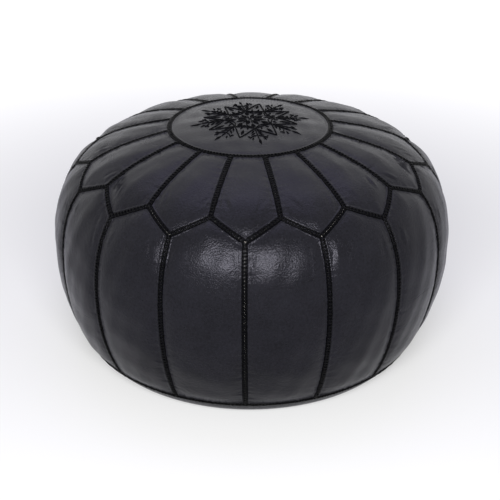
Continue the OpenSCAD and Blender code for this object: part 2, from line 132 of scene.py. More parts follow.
def spaced(length, fine=0.0008, band=0.0080, coarse=0.0022):
    """Positions from 0 to length: fine steps in a band at each end, and coarse ones between."""
    end = np.arange(0, band, fine)
    middle = np.linspace(band, length - band, int((length - 2 * band) / coarse) + 2)
    return np.concatenate([end, middle, (length - end)[::-1]])


def wavering(position, seed, waves, longest):
    """A smooth random value about 0 with a spread of about 1: a sum of sines with seeded phases, each
    1.7 times shorter than the one before it."""
    phases = np.random.default_rng(seed).uniform(0, 2 * np.pi, waves)
    sines = [np.sin(2 * np.pi * position * 1.7 ** k / longest + phases[k]) for k in range(waves)]
    return sum(sines) / np.sqrt(waves / 2)


def filled(distance, reach):
    """How far the filling has pushed the skin out at a distance from a seam: 0 under the lacing, then
    1 - exp(-distance / reach)."""
    return 1 - np.exp(-np.maximum(distance - LACING_HALF_WIDTH, 0) / reach)


def crease(x, y, start, angle, length, width, depth):
    """A fold in the skin: a valley beside a ridge, -(a/w) exp(-(a/w)^2) across the line, and fading
    in and out along it as sin^2. The line bends a little."""
    turn = np.radians(angle)
    along = ((x - start[0]) * np.cos(turn) + (y - start[1]) * np.sin(turn)) / length
    across = -(x - start[0]) * np.sin(turn) + (y - start[1]) * np.cos(turn)
    across = (across + 0.10 * length * (along - 0.5) ** 2) / width
    return -depth * across * np.exp(-across ** 2) * np.sin(np.pi * np.clip(along, 0, 1)) ** 2


def panel_skin(middle, top, bottom, top_slant, bottom_slant, seed, creases, wide, long):
    """A panel as a grid: down it by share of the walk from its top edge to its bottom edge, and across
    it by azimuth. Returns the outer and the inner face. The lift is the valley, plus the filling's
    push, the turned edge, the puckers and the creases."""
    across = spaced(wide)[None, :] / wide * 2 - 1
    down = spaced(long)[:, None] / long
    walk = top(across) + SEAM_HALF_GAP + down * (bottom(across) - top(across) - 2 * SEAM_HALF_GAP)
    radius = form_radius(walk)
    azimuth = middle + across * (HALF - SEAM_HALF_GAP / radius)
    from_side = (1 - np.abs(across)) * HALF * radius
    from_top = (walk - top(across)) * top_slant
    from_bottom = (bottom(across) - walk) * bottom_slant
    nearest = np.minimum(np.minimum(from_side, from_top), from_bottom)

    push = (0.45 * filled(from_side, 0.007) + 0.55 * filled(from_side, 0.022)) \
        * (0.5 * filled(from_top, 0.006) + 0.5 * filled(from_top, 0.020)) * filled(from_bottom, 0.012)
    lift = SEAM_LIFT + (CREST_LIFT - SEAM_LIFT) * push
    lift = lift + FOLD_HEIGHT * np.exp(-((nearest - LACING_HALF_WIDTH - 0.0008) / FOLD_WIDTH) ** 2)

    x = across * HALF * radius
    sides = np.where(across < 0, 0, 1)
    pull = wavering(walk + sides, seed, 3, 0.031)
    pucker = 0.00055 * (0.6 + 0.5 * pull) * np.cos(2 * np.pi * walk / 0.0088 + 2 * pull)
    lift = lift + pucker * np.exp(-np.abs(from_side - 0.005) / 0.0065)
    pull = wavering(x, seed + 50, 3, 0.027)
    pucker = 0.00050 * (0.6 + 0.5 * pull) * np.cos(2 * np.pi * x / 0.0088 + 2 * pull)
    lift = lift + pucker * np.exp(-np.abs(np.minimum(from_top, from_bottom) - 0.005) / 0.005)
    uneven = wavering(x + 0.35 * walk, seed + 100, 3, 0.090) + wavering(walk - 0.2 * x, seed + 150, 3, 0.120)
    lift = lift + 0.00035 * uneven * filled(nearest, 0.020)
    for start, angle, length, width, depth in creases:
        lift = lift + crease(x, walk, start, angle, length, width, depth) * filled(nearest, 0.004)
    outer = on_form(walk, azimuth, lift)
    inner = on_form(walk, azimuth, lift - LEATHER_THICKNESS)
    return outer, inner


def shell(outer, inner):
    """A closed skin from two grids of the same size: both faces, and a rim round the border."""
    rows, columns = outer.shape[:2]
    number = np.arange(rows * columns).reshape(rows, columns)

    def faces(n):
        return np.stack([n[:-1, :-1], n[1:, :-1], n[1:, 1:], n[:-1, 1:]], axis=-1).reshape(-1, 4)

    border = np.concatenate([number[0, :-1], number[:-1, -1], number[-1, :0:-1], number[:0:-1, 0]])
    after = np.roll(border, -1)
    inside = rows * columns
    rim = np.stack([border, after, after + inside, border + inside], axis=-1)
    points = np.concatenate([outer.reshape(-1, 3), inner.reshape(-1, 3)])
    return points, np.concatenate([faces(number), faces(number)[:, ::-1] + inside, rim])


def make_piece(name, points, quads, material, slot, body="pouf", triangles=np.zeros((0, 3), int)):
    """Makes a smooth mesh from arrays of points, four-sided faces and triangles, which rides on a body."""
    mesh = bpy.data.meshes.new(name)
    corners = np.concatenate([quads.ravel(), triangles.ravel()]).astype(np.int32)
    sizes = np.concatenate([np.full(len(quads), 4), np.full(len(triangles), 3)])
    mesh.vertices.add(len(points))
    mesh.vertices.foreach_set("co", np.ascontiguousarray(points, np.float32).ravel())
    mesh.loops.add(len(corners))
    mesh.loops.foreach_set("vertex_index", corners)
    mesh.polygons.add(len(sizes))
    mesh.polygons.foreach_set("loop_start", (np.cumsum(sizes) - sizes).astype(np.int32))
    mesh.polygons.foreach_set("use_smooth", np.ones(len(sizes), bool))
    mesh.update(calc_edges=True)
    mesh.validate()
    mesh.materials.append(material)
    piece = bpy.data.objects.new(name, mesh)
    bpy.context.scene.collection.objects.link(piece)
    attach(piece, body)
    return piece


def new_material(name, roughness, specular):
    """A material with one Principled shader. Returns the material, a function that adds a node, a
    function that joins two sockets, and the shader."""
    material = bpy.data.materials.new(name)
    material.use_nodes = True
    tree = material.node_tree
    shader = tree.nodes["Principled BSDF"]
    shader.inputs["Roughness"].default_value = roughness
    shader.inputs["Specular IOR Level"].default_value = specular

    def add(kind, **settings):
        node = tree.nodes.new(kind)
        for key, value in settings.items():
            if key in node.inputs:
                node.inputs[key].default_value = value
            else:
                setattr(node, key, value)
        return node

    return material, add, tree.links.new, shader


def goatskin(name, dark, light, grain):
    """Black goatskin: pebbled grain from small cells with fine pores on them, patches and flecks that
    took more or less dye, and level scuffs that dull the finish."""
    material, add, join, shader = new_material(name, 0.42, 0.19)
    place = add("ShaderNodeTexCoord")
    patches = add("ShaderNodeTexNoise", Scale=16.0, Detail=9.0, Roughness=0.74)
    dye = add("ShaderNodeMix", data_type="RGBA")
    dye.inputs["A"].default_value = (*dark, 1)
    dye.inputs["B"].default_value = (*light, 1)
    flecks = add("ShaderNodeTexNoise", Scale=360.0, Detail=3.0, Roughness=0.55)
    both = add("ShaderNodeMath", operation="ADD")
    spread = add("ShaderNodeMapRange")
    spread.inputs["From Min"].default_value = 0.60
    spread.inputs["From Max"].default_value = 1.40
    join(place.outputs["Object"], patches.inputs["Vector"])
    join(place.outputs["Object"], flecks.inputs["Vector"])
    join(patches.outputs["Fac"], both.inputs[0])
    join(flecks.outputs["Fac"], both.inputs[1])
    join(both.outputs[0], spread.inputs["Value"])
    join(spread.outputs["Result"], dye.inputs["Factor"])
    join(dye.outputs["Result"], shader.inputs["Base Color"])

    stretched = add("ShaderNodeMapping")
    stretched.inputs["Scale"].default_value = (9, 9, 150)
    scuffs = add("ShaderNodeTexNoise", Scale=1.0, Detail=6.0, Roughness=0.7)
    worn = add("ShaderNodeMapRange")
    worn.inputs["From Min"].default_value = 0.56
    worn.inputs["From Max"].default_value = 0.74
    worn.inputs["To Max"].default_value = 0.14
    handled = add("ShaderNodeMapRange")
    handled.inputs["To Min"].default_value = 0.15
    handled.inputs["To Max"].default_value = 0.27
    dulled = add("ShaderNodeMath", operation="ADD")
    join(place.outputs["Object"], stretched.inputs["Vector"])
    join(stretched.outputs["Vector"], scuffs.inputs["Vector"])
    join(scuffs.outputs["Fac"], worn.inputs["Value"])
    join(patches.outputs["Fac"], handled.inputs["Value"])
    join(worn.outputs["Result"], dulled.inputs[0])
    join(handled.outputs["Result"], dulled.inputs[1])
    join(dulled.outputs[0], shader.inputs["Roughness"])

    cells = add("ShaderNodeTexVoronoi", feature="SMOOTH_F1", Scale=520.0, Smoothness=0.35)
    pores = add("ShaderNodeTexNoise", Scale=1900.0, Detail=3.0)
    soft = add("ShaderNodeTexNoise", Scale=150.0, Detail=3.0)
    relief = add("ShaderNodeMath", operation="MULTIPLY_ADD")
    relief.inputs[1].default_value = 0.5
    rough = add("ShaderNodeMath", operation="ADD")
    bump = add("ShaderNodeBump", Strength=grain, Distance=0.0003)
    for texture in (cells, pores, soft):
        join(place.outputs["Object"], texture.inputs["Vector"])
    join(pores.outputs["Fac"], relief.inputs[0])
    join(cells.outputs["Distance"], relief.inputs[2])
    join(relief.outputs[0], rough.inputs[0])
    join(soft.outputs["Fac"], rough.inputs[1])
    join(rough.outputs[0], bump.inputs["Height"])
    join(bump.outputs["Normal"], shader.inputs["Normal"])
    shader.inputs["Sheen Weight"].default_value = 0.025
    shader.inputs["Sheen Roughness"].default_value = 0.35
    shader.inputs["Sheen Tint"].default_value = (0.62, 0.60, 1.0, 1)
    shader.inputs["Specular Tint"].default_value = (0.88, 0.86, 1.0, 1)
    return material


cover_leather = goatskin("cover_leather", (0.0010, 0.0010, 0.0015), (0.0105, 0.0105, 0.0145), 0.95)


def zigzag_walk(offset):
    """Walked distance of the zigzag seam: from a notch, at offset 0, straight to a point, at 1."""
    return NOTCH_WALK + (TIP_WALK - NOTCH_WALK) * offset


ZIGZAG_RADIUS = 0.230
ZIGZAG_SLANT = np.cos(np.arctan2(TIP_WALK - NOTCH_WALK, HALF * ZIGZAG_RADIUS))

for i in range(PANELS):
    seeded = np.random.default_rng(400 + i)
    creases = [((side * seeded.uniform(0.030, 0.040), TIP_WALK + seeded.uniform(0.000, 0.020)),
                90 - side * seeded.uniform(2, 22), seeded.uniform(0.018, 0.045),
                seeded.uniform(0.0024, 0.0038), seeded.uniform(0.0006, 0.0020))
               for side in (-1, -1, 1, 1)]
    creases += [((seeded.uniform(-0.035, 0.035), COVER_LENGTH - seeded.uniform(0.030, 0.045)),
                 90 + seeded.uniform(-25, 25), seeded.uniform(0.020, 0.035), 0.0026,
                 seeded.uniform(0.0002, 0.0006)) for _ in range(3)]
    outer, inner = panel_skin(
        FRONT + (2 * i + 1) * HALF, lambda u: zigzag_walk(np.abs(u)), lambda u: COVER_LENGTH + 0 * u,
        ZIGZAG_SLANT, 1, 10 + i, creases, wide=0.096, long=0.250)
    name = f"side_panel_{i + 1:02d}"
    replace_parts(make_piece(name + "_leather", *shell(outer, inner), cover_leather, "leather"), name)


# ---------------------------------------------------------------- leather petals
# Sixteen petals of the same skin run from the medallion to their points. They lie nearly level, so
# they show the stuffing less than the sides do, and crease towards their lower corners.

for i in range(PANELS):
    seeded = np.random.default_rng(700 + i)
    creases = [((side * seeded.uniform(0.020, 0.034), seeded.uniform(0.078, 0.096)),
                90 + side * seeded.uniform(4, 16), seeded.uniform(0.020, 0.036),
                seeded.uniform(0.0022, 0.0034), seeded.uniform(0.0006, 0.0022))
               for side in (-1, -1, 1, 1)]
    if i in (3, 14):                           # two petals that the filling leaves slack
        side = -1 if i == 14 else 1
        creases += [((side * (0.035 - 0.0060 * k), 0.080 + 0.003 * k), 90 + side * 6, 0.040, 0.0024,
                     0.0058 - 0.0008 * k) for k in range(4)]
    outer, inner = panel_skin(
        FRONT + 2 * i * HALF, lambda u: 0 * u, lambda u: zigzag_walk(1 - np.abs(u)),
        1, ZIGZAG_SLANT, 40 + i, creases, wide=0.070, long=0.135)
    name = f"upper_petal_{i + 1:02d}"
    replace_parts(make_piece(name + "_leather", *shell(outer, inner), cover_leather, "leather"), name)


# ---------------------------------------------------------------- leather medallion
# One round piece of skin in the middle of the top, slightly domed, with its edge turned under.

MEDALLION_RINGS = 60
MEDALLION_COLUMNS = 256


def on_medallion(x, y, lift):
    """A point over the medallion: a shallow dome, TOP - rise (r / R)^2, which falls into the lacing's
    valley at its edge, with the turned edge beside it and a little unevenness."""
    r = np.hypot(x, y)
    share = r / MEDALLION_RADIUS
    from_edge = MEDALLION_RADIUS - r
    push = 0.5 * filled(from_edge, 0.004) + 0.5 * filled(from_edge, 0.016)
    z = TOP - MEDALLION_RISE * share ** 2 + SEAM_LIFT * (1 - push) - 0.0004
    z = z + FOLD_HEIGHT * np.exp(-((from_edge - LACING_HALF_WIDTH - 0.0008) / FOLD_WIDTH) ** 2)
    z = z + 0.0004 * (1 - share ** 4) * (wavering(x + 0.3 * y, 5, 3, 0.080) + wavering(y, 6, 3, 0.100))
    return np.stack(np.broadcast_arrays(x, y, z + lift), axis=-1)


rings = np.concatenate([np.linspace(0.002, MEDALLION_RADIUS - 0.009, MEDALLION_RINGS - 12, endpoint=False),
                        np.linspace(MEDALLION_RADIUS - 0.009, MEDALLION_RADIUS - SEAM_HALF_GAP, 12)])[:, None]
turns = np.linspace(0, 2 * np.pi, MEDALLION_COLUMNS, endpoint=False)[None, :]


def round_skin(top_face, under_face, top_middle, under_middle):
    """A closed round skin from two grids of rings: both faces, a rim, and a fan over each middle."""
    rows, columns = top_face.shape[:2]
    number = np.arange(rows * columns).reshape(rows, columns)
    after = np.roll(number, -1, axis=1)
    under = rows * columns
    face = np.stack([number[:-1], number[1:], after[1:], after[:-1]], axis=-1).reshape(-1, 4)
    rim = np.stack([number[-1], number[-1] + under, after[-1] + under, after[-1]], axis=-1)
    points = np.concatenate([top_face.reshape(-1, 3), under_face.reshape(-1, 3), top_middle, under_middle])
    middle = np.full(columns, 2 * under)
    fans = np.concatenate([np.stack([middle, number[0], after[0]], axis=-1),
                           np.stack([middle + 1, after[0] + under, number[0] + under], axis=-1)])
    return points, np.concatenate([face, face[:, ::-1] + under, rim]), fans


x, y = rings * np.cos(turns), rings * np.sin(turns)
nothing = np.zeros(1)
points, quads, fans = round_skin(
    on_medallion(x, y, 0), on_medallion(x, y, -LEATHER_THICKNESS),
    on_medallion(nothing, nothing, 0), on_medallion(nothing, nothing, -LEATHER_THICKNESS))
medallion = make_piece("medallion_leather", points, quads, cover_leather, "leather", triangles=fans)
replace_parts(medallion, "medallion")


# ---------------------------------------------------------------- embroidery on the medallion
# Before the top is sewn in, a star is worked on the medallion in glossy black floss. The outlines
# are a twisted cord sewn down, and the leaves are filled with satin stitch laid side by side.

STAR_TURN = np.radians(12)                     # azimuth of the first spike
STAR_RADIUS = 0.0650
CROSSING_RADIUS = STAR_RADIUS * np.cos(3 * np.pi / 8) / np.cos(np.pi / 4)
SPIKE_TIP = 0.0820
CORD_WIDTH = 0.0017
CORD_HEIGHT = 0.0009


def sweep(centres, sides, ups, across, high):
    """A closed tube: at each centre a ring of points, centre + across * side + high * up, joined to the
    next ring, with a fan at each end."""
    rows, columns = across.shape
    ring = centres[:, None] + across[..., None] * sides[:, None] + high[..., None] * ups[:, None]
    number = np.arange(rows * columns).reshape(rows, columns)
    after = np.roll(number, -1, axis=1)
    quads = np.stack([number[:-1], number[1:], after[1:], after[:-1]], axis=-1).reshape(-1, 4)
    first, last = rows * columns, rows * columns + 1
    fans = np.concatenate([np.stack([np.full(columns, first), number[0], after[0]], axis=-1),
                           np.stack([np.full(columns, last), after[-1], number[-1]], axis=-1)])
    return np.concatenate([ring.reshape(-1, 3), ring[[0, -1]].mean(axis=1)]), quads, fans


def together(parts):
    """Several (points, quads, triangles) as one."""
    starts = np.cumsum([0] + [len(p[0]) for p in parts[:-1]])
    return (np.concatenate([p[0] for p in parts]),
            np.concatenate([p[1] + s for p, s in zip(parts, starts)]),
            np.concatenate([p[2] + s for p, s in zip(parts, starts)]))


def polar(radius, azimuth):
    """Level point at a radius and azimuth."""
    return np.array([radius * np.cos(azimuth), radius * np.sin(azimuth)])


def laid_cord(line, width=CORD_WIDTH, height=CORD_HEIGHT):
    """A two-ply cord sewn down along a level line: a flattened tube whose two lobes turn with the
    distance along it."""
    walk = lengths_along(line)
    at = np.linspace(0, walk[-1], max(4, int(walk[-1] / 0.0008)))
    flat = np.stack([np.interp(at, walk, line[:, k]) for k in (0, 1)], axis=1)
    ahead = np.gradient(flat, axis=0)
    ahead /= np.linalg.norm(ahead, axis=1)[:, None]
    side = np.stack([ahead[:, 1], -ahead[:, 0], 0 * at], axis=1)
    up = np.tile([0.0, 0.0, 1.0], (len(at), 1))
    angle = np.linspace(0, 2 * np.pi, 8, endpoint=False)[None, :]
    lobes = 1 + 0.22 * np.cos(2 * angle - 2 * np.pi * at[:, None] / 0.0024)
    taper = np.clip(np.minimum(at, walk[-1] - at) / 0.0012, 0.3, 1)[:, None]
    return sweep(on_medallion(flat[:, 0], flat[:, 1], 0.25 * height), side, up,
                 width / 2 * lobes * taper * np.cos(angle), height * lobes * taper * np.sin(angle))


def satin_leaf(root, tip, width, fullness=1.5):
    """A leaf filled with satin stitch: its half width is (1 - |a|^fullness) along it, it is domed
    across, and each thread is a ridge a little over half a millimetre wide."""
    root, tip = np.array(root), np.array(tip)
    long = np.linalg.norm(tip - root)
    rows = max(12, 2 * int(long / 0.00055))
    share = np.linspace(0, 1, rows)
    line = root + share[:, None] * (tip - root)
    ahead = (tip - root) / long
    side = np.tile([ahead[1], -ahead[0], 0.0], (rows, 1))
    up = np.tile([0.0, 0.0, 1.0], (rows, 1))
    angle = np.linspace(0, 2 * np.pi, 10, endpoint=False)[None, :]
    full = (1 - np.abs(2 * share - 1) ** fullness)[:, None]
    thread = 1 + 0.10 * np.where(np.arange(rows) % 2, 1, -1)[:, None]
    return sweep(on_medallion(line[:, 0], line[:, 1], 0), side, up,
                 width / 2 * np.maximum(full, 0.06) * np.cos(angle),
                 0.0011 * np.maximum(full, 0.1) ** 0.5 * thread * np.sin(angle))


def arc(start, end, bend, steps=14):
    """A level line from start to end that bows sideways by bend times its length, as 4 t (1 - t)."""
    start, end = np.array(start), np.array(end)
    t = np.linspace(0, 1, steps)[:, None]
    sideways = np.array([start[1] - end[1], end[0] - start[0]])
    return start + t * (end - start) + 4 * t * (1 - t) * bend * sideways


work = []
for k in range(8):
    spike = STAR_TURN + k * np.pi / 4          # along a spray
    star = spike + np.pi / 8                   # along a point of the star
    left, right = star - np.pi / 8, star + np.pi / 8
    # the two straight sides of a point, from its tip to where they meet the next points' sides
    for side in (-1, 1):
        crossing = polar(CROSSING_RADIUS, star + side * np.pi / 8)
        work.append(laid_cord(np.stack([polar(STAR_RADIUS, star), crossing])))
    # the bowed line across the root of the point, and two that run in from its ends
    work.append(laid_cord(arc(polar(CROSSING_RADIUS, left), polar(CROSSING_RADIUS, right), 0.10)))
    work.append(laid_cord(arc(polar(CROSSING_RADIUS, left), polar(0.0245, star), 0.06), CORD_WIDTH * 0.8))
    work.append(laid_cord(arc(polar(CROSSING_RADIUS, right), polar(0.0245, star), -0.06), CORD_WIDTH * 0.8))
    # the leaf in the point, and a short one each side of its root
    work.append(satin_leaf(polar(0.0405, star), polar(0.0555, star), 0.0046))
    for side in (-1, 1):
        work.append(satin_leaf(polar(0.0315, star + side * 0.10), polar(0.0385, star + side * 0.14), 0.0028))
    # the spray: a stem, a spike, hooked tendrils and pairs of leaves
    work.append(laid_cord(np.stack([polar(CROSSING_RADIUS + 0.001, spike), polar(0.0660, spike)]), 0.0013))
    work.append(satin_leaf(polar(0.0655, spike), polar(SPIKE_TIP, spike), 0.0044, 1.2))
    for side in (-1, 1):
        root, tip = polar(0.0405, spike + side * 0.03), polar(0.0500, spike + side * 0.15)
        work.append(satin_leaf(root, tip, 0.0030))
        root, tip = polar(0.0480, spike + side * 0.03), polar(0.0560, spike + side * 0.16)
        work.append(satin_leaf(root, tip, 0.0028))
        elbow, hook = polar(0.0650, spike + side * 0.185), polar(0.0595, spike + side * 0.235)
        work.append(laid_cord(arc(polar(0.0560, spike + side * 0.02), elbow, side * 0.10), 0.0013))
        work.append(laid_cord(arc(elbow, hook, side * 0.25), 0.0013))
        root, tip = polar(0.0625, spike + side * 0.10), polar(0.0700, spike + side * 0.14)
        work.append(satin_leaf(root, tip, 0.0026))
    # the rosette: long petals, and round ones between their tips
    work.append(satin_leaf(polar(0.0045, star), polar(0.0225, star), 0.0066, 1.3))
    work.append(satin_leaf(polar(0.0180, spike), polar(0.0300, spike), 0.0062, 2.2))
    work.append(laid_cord(arc(polar(0.0060, spike), polar(0.0165, spike), 0.05), 0.0012))
work.append(satin_leaf((-0.0030, 0.0), (0.0030, 0.0), 0.0056, 2.2))


def thread(name, colour, roughness, specular):
    """Spun thread with a lustre: fine fibres in the relief, and patches that catch more light."""
    material, add, join, shader = new_material(name, roughness, specular)
    place = add("ShaderNodeTexCoord")
    fibres = add("ShaderNodeTexNoise", Scale=2600.0, Detail=3.0)
    bump = add("ShaderNodeBump", Strength=0.35, Distance=0.0002)
    patches = add("ShaderNodeTexNoise", Scale=320.0, Detail=3.0)
    tone = add("ShaderNodeMix", data_type="RGBA")
    tone.inputs["A"].default_value = (*(0.6 * np.array(colour)), 1)
    tone.inputs["B"].default_value = (*(1.5 * np.array(colour)), 1)
    waxed = add("ShaderNodeMapRange")
    waxed.inputs["To Min"].default_value = roughness - 0.08
    waxed.inputs["To Max"].default_value = roughness + 0.12
    join(place.outputs["Object"], fibres.inputs["Vector"])
    join(place.outputs["Object"], patches.inputs["Vector"])
    join(fibres.outputs["Fac"], bump.inputs["Height"])
    join(bump.outputs["Normal"], shader.inputs["Normal"])
    join(patches.outputs["Fac"], tone.inputs["Factor"])
    join(tone.outputs["Result"], shader.inputs["Base Color"])
    join(patches.outputs["Fac"], waxed.inputs["Value"])
    join(waxed.outputs["Result"], shader.inputs["Roughness"])
    return material


floss = thread("embroidery_floss", (0.0012, 0.0012, 0.0018), 0.45, 0.03)
points, quads, fans = together(work)
star_work = make_piece("medallion_embroidery_floss", points, quads, floss, "embroidery_thread",
                       triangles=fans)
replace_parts(star_work, "medallion_embroidery")


# ---------------------------------------------------------------- lacing over the seams
# Each seam is laced by hand with thick waxed thread. A twisted cord lies along either edge, and a
# doubled thread crosses both at every hole, like the rungs of a ladder.

RUNG_PITCH = 0.0044
RUNG_HALF_LENGTH = 0.0034
RUNG_RISE = 0.0022
RUNG_HALF_WIDTH = 0.00120
RUNG_HALF_THICKNESS = 0.00085
RAIL_OFFSET = 0.0022
RAIL_RADIUS = 0.00085
RAIL_LAY = 0.0080                              # one full turn of the rail's two plies
RAIL_STEP = 0.0011

laced = thread("lacing_thread", (0.0006, 0.0006, 0.0010), 0.27, 0.055)


def seam_row(walk, azimuth):
    """A seam as even points along its valley: the points, the way ahead, the outward normal and the
    side, ahead x normal."""
    low = on_form(walk, azimuth, SEAM_LIFT)
    out = on_form(walk, azimuth, SEAM_LIFT + 0.001) - low
    far = lengths_along(low)
    at = np.linspace(0, far[-1], max(8, int(far[-1] / RAIL_STEP)))
    low = np.stack([np.interp(at, far, low[:, k]) for k in range(3)], axis=1)
    out = np.stack([np.interp(at, far, out[:, k]) for k in range(3)], axis=1)
    ahead = np.gradient(low, axis=0)
    ahead /= np.linalg.norm(ahead, axis=1)[:, None]
    out -= (out * ahead).sum(axis=1)[:, None] * ahead
    out /= np.linalg.norm(out, axis=1)[:, None]
    return at, low, ahead, out, np.cross(ahead, out)


def rails(row):
    """The two twisted cords along a seam: tubes with two lobes that turn as they go."""
    at, low, ahead, out, side = row
    angle = np.linspace(0, 2 * np.pi, 7, endpoint=False)[None, :]
    cords = []
    for hand in (-1, 1):
        lobes = 1 + 0.20 * np.cos(2 * angle - hand * 4 * np.pi * at[:, None] / RAIL_LAY)
        centre = low + hand * RAIL_OFFSET * side + RAIL_RADIUS * 0.9 * out
        cords.append(sweep(centre, side, out, RAIL_RADIUS * lobes * np.cos(angle),
                           RAIL_RADIUS * lobes * np.sin(angle)))
    return cords


def rungs(row, seed):
    """The crossing threads of a seam: one arched form with a groove between its two strands, put at
    every hole and turned and raised a little differently each time."""
    at, low, ahead, out, side = row
    count = max(2, round(at[-1] / RUNG_PITCH))
    place = (np.arange(count) + 0.5) * at[-1] / count
    seeded = np.random.default_rng(seed)
    place = place + seeded.uniform(-0.00025, 0.00025, count)
    along_row = (low, ahead, out, side)
    at_rung = [np.stack([np.interp(place, at, v[:, k]) for k in range(3)], axis=1) for v in along_row]
    low, ahead, out, side = [v[:, None] for v in at_rung]
    turn = np.radians(9 + seeded.uniform(-6, 6, count))[:, None, None]
    ahead, side = np.cos(turn) * ahead - np.sin(turn) * side, np.cos(turn) * side + np.sin(turn) * ahead
    share = np.sin(np.linspace(-np.pi / 2, np.pi / 2, 7))[:, None]
    angle = np.linspace(0, 2 * np.pi, 8, endpoint=False)[None, :]
    narrow = 0.72 + 0.28 * np.sqrt(1 - share ** 4)
    along = (RUNG_HALF_LENGTH * share + 0 * angle).ravel()[None, :, None]
    width = (RUNG_HALF_WIDTH * narrow * np.cos(angle)).ravel()[None, :, None]
    groove = 0.24 * np.exp(-(np.cos(angle) / 0.35) ** 2) * (np.sin(angle) > 0)
    arch = RUNG_RISE * (1 - np.abs(share) ** 3.5) - 0.0003
    high = (arch + RUNG_HALF_THICKNESS * narrow * np.sin(angle) * (1 - groove)).ravel()[None, :, None]
    tall = seeded.uniform(0.90, 1.10, count)[:, None, None]
    points = low + along * side - width * ahead + tall * high * out
    middles = points.reshape(count, 7, 8, 3)[:, [0, -1]].mean(axis=2)
    number = np.arange(56).reshape(7, 8)
    after = np.roll(number, -1, axis=1)
    quads = np.stack([number[:-1], number[1:], after[1:], after[:-1]], axis=-1).reshape(-1, 4)
    fans = np.concatenate([np.stack([np.full(8, 56), number[0], after[0]], axis=-1),
                           np.stack([np.full(8, 57), after[-1], number[-1]], axis=-1)])
    starts = (58 * np.arange(count))[:, None, None]
    return (np.concatenate([points, middles], axis=1).reshape(-1, 3),
            (quads[None] + starts).reshape(-1, 4), (fans[None] + starts).reshape(-1, 3))


def lace(name, seams, node):
    """Laces the seams of one kind as one piece."""
    parts = []
    for k, (walk, azimuth) in enumerate(seams):
        row = seam_row(walk, azimuth)
        parts += rails(row) + [rungs(row, 900 + k)]
    points, quads, fans = together(parts)
    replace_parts(make_piece(name, points, quads, laced, "seam_thread", triangles=fans), node)


down = np.linspace(0, 1, 400)
round_ = np.linspace(0, 2 * np.pi, 1200)
lace("medallion_lacing", [(0 * round_, round_)], "medallion_seam_stitching")
lace("petal_lacing", [(0.003 + down * (NOTCH_WALK - 0.005), FRONT + (2 * k + 1) * HALF + 0 * down)
                      for k in range(PANELS)], "petal_seam_stitching")
lace("zigzag_lacing", [(zigzag_walk(down), FRONT + (2 * k + side * (1 - down)) * HALF)
                       for k in range(PANELS) for side in (-1, 1)], "zigzag_seam_stitching")
side_walk = TIP_WALK + 0.002 + down * (COVER_LENGTH - TIP_WALK - 0.005)
lace("side_lacing", [(side_walk, FRONT + 2 * k * HALF + 0 * down)
                     for k in range(PANELS)], "side_seam_stitching")
lace("base_lacing", [(COVER_LENGTH + 0 * round_, round_)], "base_seam_stitching")


# ---------------------------------------------------------------- leather base
# The pouf stands on two half rounds of thicker skin, sewn to a zip across the middle. Their outer
# edge rolls up to the base seam, and the filling leaves a shallow channel over the zip.

SOLE_RADIUS = BASE_SEAM_RADIUS - 0.028
CHANNEL_DEPTH = 0.0074
CHANNEL_HALF_WIDTH = 0.017
CHANNEL_SLOPE = 0.024
CHANNEL_HALF_LENGTH = 0.178
SLOT_HALF_WIDTH = 0.0066
SLOT_HALF_LENGTH = 0.170
FLOOR_GAP = 0.0008                             # keeps the dents and puckers above the floor

base_leather = goatskin("base_leather", (0.006, 0.006, 0.008), (0.013, 0.013, 0.018), 0.8)


def eased(value):
    """0 below 0, 1 above 1, and 3 v^2 - 2 v^3 between."""
    value = np.clip(value, 0, 1)
    return value * value * (3 - 2 * value)


hem_end = hem + SEAM_LIFT * form_out[-1]
hem_down = -np.array([np.cos(HEM_SLOPE), np.sin(HEM_SLOPE)])
roll_curve = [hem_end, hem_end + 0.0105 / np.sin(HEM_SLOPE) * hem_down,
              np.array([SOLE_RADIUS + 0.014, 0]), np.array([SOLE_RADIUS, 0])]
roll = cubic(roll_curve, np.linspace(0, 1, 60))[::-1]


def base_height(x, y):
    """Height of the base's outer face: level, rolled up at its edge, raised along the channel, and
    with soft dents where the filling is thin."""
    r = np.hypot(x, y)
    rolled = np.interp(r, roll[:, 0], roll[:, 1])
    over_zip = 1 - eased((np.abs(y) - CHANNEL_HALF_WIDTH) / CHANNEL_SLOPE)
    along_zip = 1 - eased((np.abs(x) - CHANNEL_HALF_LENGTH) / 0.016)
    level = 1 - eased((r - SOLE_RADIUS + 0.022) / 0.022)
    dents = 0.0004 * (1 + 0.7 * wavering(x + 0.4 * y, 31, 3, 0.110) * wavering(y - 0.3 * x, 32, 3, 0.140))
    puckers = 0.0003 * np.cos(np.arctan2(y, x) * 150) * np.exp(-np.abs(r - hem_end[0] + 0.006) / 0.004)
    channel = over_zip * along_zip
    return FLOOR_GAP + rolled + CHANNEL_DEPTH * channel + dents * level * (1 - channel) + puckers


for half, name in ((1, "back"), (-1, "front")):
    along = np.linspace(np.pi - 0.03, 0.03, 260)[None, :]
    x = hem_end[0] * np.cos(along)
    slot = 1 - eased((np.abs(x) - SLOT_HALF_LENGTH) / 0.0012)
    inner_y = SEAM_HALF_GAP + (SLOT_HALF_WIDTH - SEAM_HALF_GAP) * slot
    outer_y = hem_end[0] * np.sin(along)
    share = np.sort(np.concatenate([np.linspace(0, 1, 70), np.linspace(0.86, 1, 20)[:-1]]))[:, None]
    x, y = x + 0 * share, half * (inner_y + share * (outer_y - inner_y))
    z = base_height(x, y)
    under = np.stack([x, y, z], axis=-1)
    inside = np.stack([x * 0.994, y * np.where(np.abs(y) > 0.03, 0.994, 1), z + LEATHER_THICKNESS], axis=-1)
    if half < 0:
        under, inside = under[:, ::-1], inside[:, ::-1]
    points, quads = shell(under, inside)
    node = f"base_half_{name}"
    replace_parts(make_piece(node + "_leather", points, quads, base_leather, "leather"), node)


